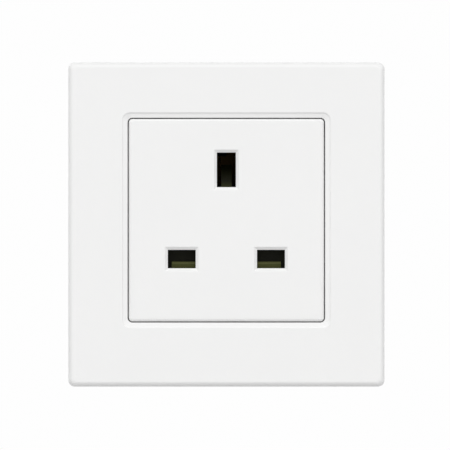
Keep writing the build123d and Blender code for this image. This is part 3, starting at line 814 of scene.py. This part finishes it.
# %% [markdown]
# Four clip legs at the rear of the insert catch behind the strap. One leg is shaped from a
# block: the free end is drawn out and narrowed, and its outer side is pulled into a hook. The
# other three are copies.

# %% Clip legs
leg_width = 6
leg_wall = 1.4
leg_side = 20.28
leg_middle = 13
leg_place = around(leg_middle, leg_width)
leg_x = (leg_side - leg_wall, leg_side)
hook_reach = 0.7
hook_flat = 0.3
hook_front = -0.1
hook_back = hook_front - hook_flat
leg_end = insert_out[0]
leg_root = tray_floor + root
add_block(leg_x, (hook_front, leg_root), leg_place)
pick("FACE", x=leg_x, out=hook_front, z=leg_place)
push(out=hook_back - hook_front)
push(out=leg_end - hook_back)
for out, move in ((leg_end, -hook_reach), (hook_back, hook_reach), (hook_front, hook_reach)):
    pick("EDGE", x=leg_side, out=out, z=leg_place)
    shift(x=move)
whole_leg = (leg_x[0], leg_side + hook_reach)
print("clip legs:", to_all_corners(whole_leg, (leg_end, leg_root), leg_place), "faces")
done(insert, "socket", "white_plastic", edge=0.07)
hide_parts("face_plate")

# %% [markdown]
# ## The safety shutter
# The shutter closes the two lower slots until the longer earth pin pushes its ramp down. Two
# raised pads with a round upper edge are what shows in the slots. It is one flat moulding, so
# it starts as the crossbar. The column, bridge, pads and post are drawn out of its faces.

# %% Sizes of the shutter and its spring
plate_back = 2.0
lap_below = 1.6
lap_above = 0.8
earth_play = 0.13
slot_low, slot_high = around(line_z, line_slot[1])
bar_low = slot_low - lap_below
bar_high = slot_high + lap_above
column_width = 8.4
column_x = around(0, column_width)
column_high = around(earth_z, earth_slot[1])[0] - earth_play
bridge_width = 9.0
bridge_x = around(0, bridge_width)
bridge_low = shutter_z[0]
spring_low = -11.78
spring_length = 14.0
spring_out = 3.8
room_width = 3.8
room_step = 0.6
room_x = around(0, room_width)
room_z = (bar_low + room_step, spring_low + spring_length)
print("shutter: bar from", round(bar_low, 2), "to", round(bar_high, 2))

# %% Plate of the shutter
shutter = start("shutter_moulding")
add_block(shutter_x, (plate_back, plate_front), (bar_low, bar_high))
cut(x=column_x)
pick("FACE", x=column_x, z=bar_high)
push(z=column_high - bar_high)
cut(x=bridge_x)
pick("FACE", x=bridge_x, z=bar_low)
push(z=bridge_low - bar_low)
cut(x=room_x, z=room_z)
for out in (plate_front, plate_back):
    pick("FACE", x=room_x, out=out, z=room_z)
    bpy.ops.mesh.dissolve_faces()
pick("FACE", x=room_x, out=plate_front, z=room_z)
pick("FACE", x=room_x, out=plate_back, z=room_z, more=True)
bpy.ops.mesh.bridge_edge_loops()
print("shutter: plate with room for the spring")

# %% Post and pads of the shutter
post_height = 1.2
post_top = room_z[1] + post_height
post_z = (room_z[1], post_top)
slot_inner, slot_outer = around(pin_side, line_slot[0])
inner_lap = 0.15
outer_gap = 0.95
pad_inner = slot_inner - inner_lap
pad_outer = slot_outer - outer_gap
pad_rise = pad_front - plate_front
pad_round = 0.6
cut(z=(post_top,), out=plate_front)
pick("FACE", x=column_x, out=plate_front, z=post_z)
push(out=pad_rise)
print("pads from", round(pad_inner, 2), "to", round(pad_outer, 2), "on each side")
cut(x=(-pad_outer, -pad_inner, pad_inner, pad_outer), z=(pad_top,), out=plate_front)
for pad_x in ((-pad_outer, -pad_inner), (pad_inner, pad_outer)):
    pick("FACE", x=pad_x, out=plate_front, z=(bar_low, pad_top))
    push(out=pad_rise)
    pick("EDGE", x=pad_x, out=pad_front, z=pad_top)
    bpy.ops.mesh.bevel(offset=pad_round * mm, segments=6, affect="EDGES")

# %% [markdown]
# The ramp is a block at the top of the column. Its upper end is drawn out and both edges of
# that end are moved back towards the wall, which leaves one long slope for the earth pin. A
# short peg hangs into the coil and holds the spring in line.

# %% Ramp and peg of the shutter
ramp_width = 2.6
ramp_foot = 3.2
ramp_x = around(0, ramp_width)
ramp_low = column_high - ramp_foot
ramp_high = shutter_z[1]
ramp_back = shutter_out[0]
ramp_tip = 2.4
peg_radius = 0.9
peg_length = 1.5
peg_z = (room_z[1] - peg_length, room_z[1] + root)
add_block(ramp_x, (plate_back, pad_front), (ramp_low, column_high))
pick("FACE", x=ramp_x, out=(plate_back, pad_front), z=column_high)
push(z=ramp_high - column_high)
pick("EDGE", x=ramp_x, out=pad_front, z=ramp_high)
shift(out=ramp_back - pad_front)
pick("EDGE", x=ramp_x, out=plate_back, z=ramp_high)
shift(out=ramp_back - plate_back, z=-ramp_tip)
bpy.ops.mesh.primitive_cylinder_add(
    vertices=24,
    radius=peg_radius * mm,
    depth=(peg_z[1] - peg_z[0]) * mm,
    location=(0, -spring_out * mm, sum(peg_z) / 2 * mm),
)
done(shutter, "shutter", "shutter_plastic", edge=0.08)
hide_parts("safety_shutter")

# %% [markdown]
# ## The return spring
# A coil of thin wire pushes the shutter up again. Its section is a small circle, and a Screw modifier winds
# it.

# %% Coil of the spring
turns = 9
wire = 0.4
coil_radius = 1.3
spring = start("return_spring")
section_place = (coil_radius * mm, 0, 0)
bpy.ops.mesh.primitive_circle_add(vertices=12, radius=wire / 2 * mm, location=section_place, rotation=lying)
bpy.ops.object.mode_set(mode="OBJECT")
spring.location = (0, -spring_out * mm, (spring_low + wire / 2) * mm)
coil = spring.modifiers.new("coil", "SCREW")
coil.screw_offset = (spring_length - wire) / turns * mm
coil.iterations = turns
coil.steps = 28
coil.render_steps = 28
bpy.ops.object.modifier_apply(modifier=coil.name)
bpy.ops.object.transform_apply(location=True, rotation=False, scale=False)
print("spring: pitch", round((spring_length - wire) / turns, 2), "mm")

# %% Ends of the spring
bpy.ops.object.mode_set(mode="EDIT")
bpy.ops.mesh.select_mode(type="EDGE")
bpy.ops.mesh.select_all(action="DESELECT")
bpy.ops.mesh.select_non_manifold()
bpy.ops.mesh.fill_holes(sides=0)
done(spring, "socket", "spring_steel", edge=0.03, angle=50)
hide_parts("shutter_spring")
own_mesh(spring)

# %% [markdown]
# ## The housing
# In the CAD model the housing is built of plain blocks, but the real one is a single dark
# moulding. So one shell takes the place of its rear plate and outer walls: a deep tray of four
# outlines, with a round rear edge. Square ways for the wires and round holes for a screwdriver
# are cut with one Boolean, and so are the shallow round marks of the ejector pins.

# %% Shell of the housing
rear, floor_front = floor_out
housing_wall = 1.8
housing_corner = 2.0
rear_round = 0.8
housing_sides = (housing_x, housing_z)
shell = start("housing_shell")
add_outline(housing_sides, -housing_wall, small_corner, floor_front)
add_outline(housing_sides, -housing_wall, small_corner, 0)
add_outline(housing_sides, 0, housing_corner, 0)
add_outline(housing_sides, 0, housing_corner, rear)
join_outlines(4, filled=(1,))
inner_end = 0
outer_end = 3
for number in (inner_end, outer_end):
    pick_outlines(number)
    bpy.ops.mesh.edge_face_add()
pick_outlines(outer_end)
bpy.ops.mesh.bevel(offset=rear_round * mm, segments=6, affect="EDGES")
bpy.ops.mesh.select_all(action="SELECT")
bpy.ops.mesh.normals_make_consistent(inside=False)
print("housing: tray with", len(bmesh.from_edit_mesh(shell.data).faces), "faces")
bpy.ops.object.mode_set(mode="OBJECT")

# %% [markdown]
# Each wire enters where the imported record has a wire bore, and the screwdriver comes from the
# rear at the same place. So both kinds of hole take their places from the record.

# %% Cutters for the housing's holes
wire_bores = [place for name, place in mounts.items() if name.endswith("_wire_bore")]
wire_way = 5.8
driver_radius = 3.3
mark_radius = 2.0
mark_depth = 0.3
beyond = 1.0
below = (housing_z[0] - beyond, housing_z[0] + housing_wall + root)
above = (housing_z[1] - housing_wall - root, housing_z[1] + beyond)
pin_marks = [(-17.5, 8.0), (17.5, 19.0), (-6.0, 18.5), (0.0, -6.0), (18.0, -4.0), (0.0, -19.0)]
cutter = start("housing_cutter")
for x, y, z in wire_bores:
    add_bar(x / mm, (rear - beyond, floor_front + beyond), z / mm, driver_radius)
    add_block(around(x / mm, wire_way), around(-y / mm, wire_way), above if z > 0 else below)
for x, z in pin_marks:
    add_bar(x, (rear - beyond, rear + mark_depth), z, mark_radius)
bpy.ops.mesh.select_all(action="SELECT")
bpy.ops.mesh.normals_make_consistent(inside=False)
bpy.ops.object.mode_set(mode="OBJECT")
print("cutters:", len(wire_bores), "wire ways and", len(pin_marks), "marks")

# %% Holes of the housing
bpy.ops.object.select_all(action="DESELECT")
bpy.context.view_layer.objects.active = shell
shell.select_set(True)
holes = shell.modifiers.new("holes", "BOOLEAN")
holes.operation = "DIFFERENCE"
holes.solver = "EXACT"
holes.object = cutter
bpy.ops.object.modifier_apply(modifier=holes.name)
bpy.data.objects.remove(cutter)
bpy.ops.object.mode_set(mode="EDIT")
done(shell, "socket", "housing_plastic", edge=0.14)
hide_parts("base_housing", "housing_sides", "housing_ends")

# %% [markdown]
# ## Strap and screws with soft edges
# The strap's outline is right as it comes: a plate with a window, notches, slots and two folded
# lips. Only its edges are too crisp, because stamping rolls them over. So a copy of the CAD
# mesh is merged, its triangles are joined into flat faces, and its edges are rounded. The
# terminal screws get the same care: turned heads have a small chamfer.


# %% A softened copy of a CAD piece
def softened(name, node, body, slot, edge):
    """Puts a copy of a CAD node with soft edges in the node's place."""
    mesh = frame["nodes"][node].data.copy()
    mesh.materials.clear()
    piece = start(name, mesh)
    bpy.ops.mesh.select_all(action="SELECT")
    bpy.ops.mesh.remove_doubles(threshold=0.001 * mm)
    bpy.ops.mesh.dissolve_limited(angle_limit=flat_angle)
    done(piece, body, slot, edge)
    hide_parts(node)


# %% Strap and terminal screws
softened("strap_sheet", "mounting_strap", "socket", "zinc_steel", edge=0.16)
for pole in ("line", "neutral", "earth"):
    screw = f"{pole}_terminal_screw"
    softened(f"{pole}_screw_turned", screw, f"{pole}_screw", "screw_steel", edge=0.14)

# %% [markdown]
# ## Size
# The visual model should fill the same box as the CAD model. Both boxes are worked out and their sizes
# printed.

# %% Size
boxes = {"cad": [list(corner) for corner in cad_box], "visual": [list(corner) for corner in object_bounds()]}
for name, corners in boxes.items():
    print(name, [round((high - low) / mm, 2) for low, high in zip(*corners)])
